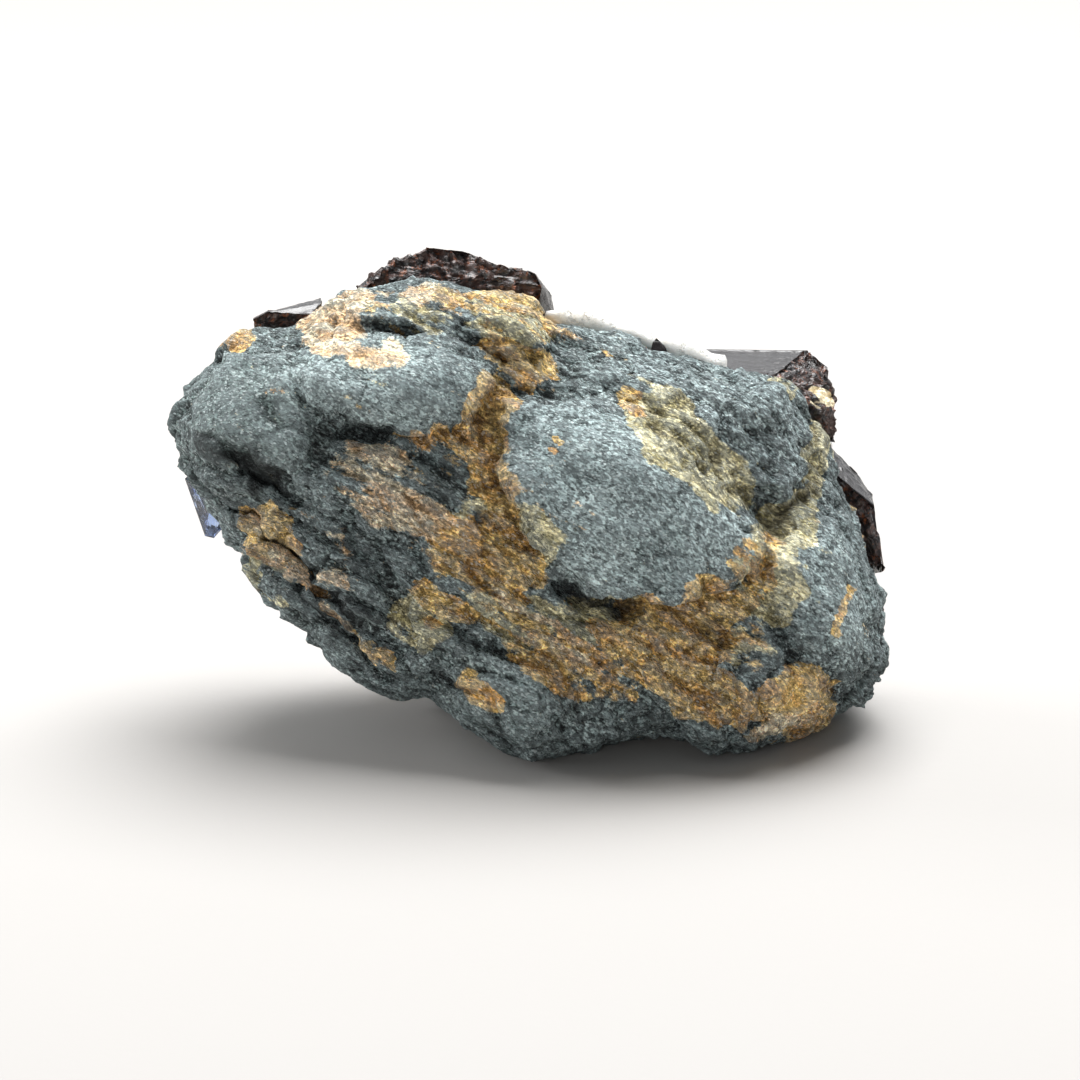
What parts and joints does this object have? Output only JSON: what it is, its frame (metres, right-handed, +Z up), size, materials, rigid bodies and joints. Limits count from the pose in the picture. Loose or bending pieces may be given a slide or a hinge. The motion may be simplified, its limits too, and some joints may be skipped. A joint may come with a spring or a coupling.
{
  "type": "benitoite and neptunite mineral specimen",
  "caption": "Loose hand specimen: black neptunite and blue benitoite crystals in a white natrolite crust on a rough block of ochre-stained blueschist.",
  "frame": {"origin": "on the worn flat patch under the block that the specimen rests on, beneath the middle of the block", "axes": "+Z up, +X along the specimen's longest extent, to the right as seen from its broken face, +Y from the broken face towards the crystal side"},
  "size_m": [0.0797, 0.0476, 0.0525],
  "materials": {
    "blueschist": "matte",
    "natrolite": "matte",
    "neptunite": "gloss",
    "benitoite": "polished"
  },
  "bodies": {
    "root": {"matrix": "blueschist", "natrolite_crust": "natrolite", "neptunite_crest": "neptunite", "neptunite_left": "neptunite", "neptunite_point": "neptunite", "neptunite_right": "neptunite", "neptunite_flank": "neptunite", "neptunite_low": "neptunite", "neptunite_bar": "neptunite", "neptunite_cross": "neptunite", "neptunite_stub": "neptunite", "benitoite_large": "benitoite", "benitoite_upper": "benitoite", "benitoite_lower": "benitoite", "benitoite_right": "benitoite", "benitoite_small": "benitoite", "benitoite_edge": "benitoite"}
  },
  "joints": []
}
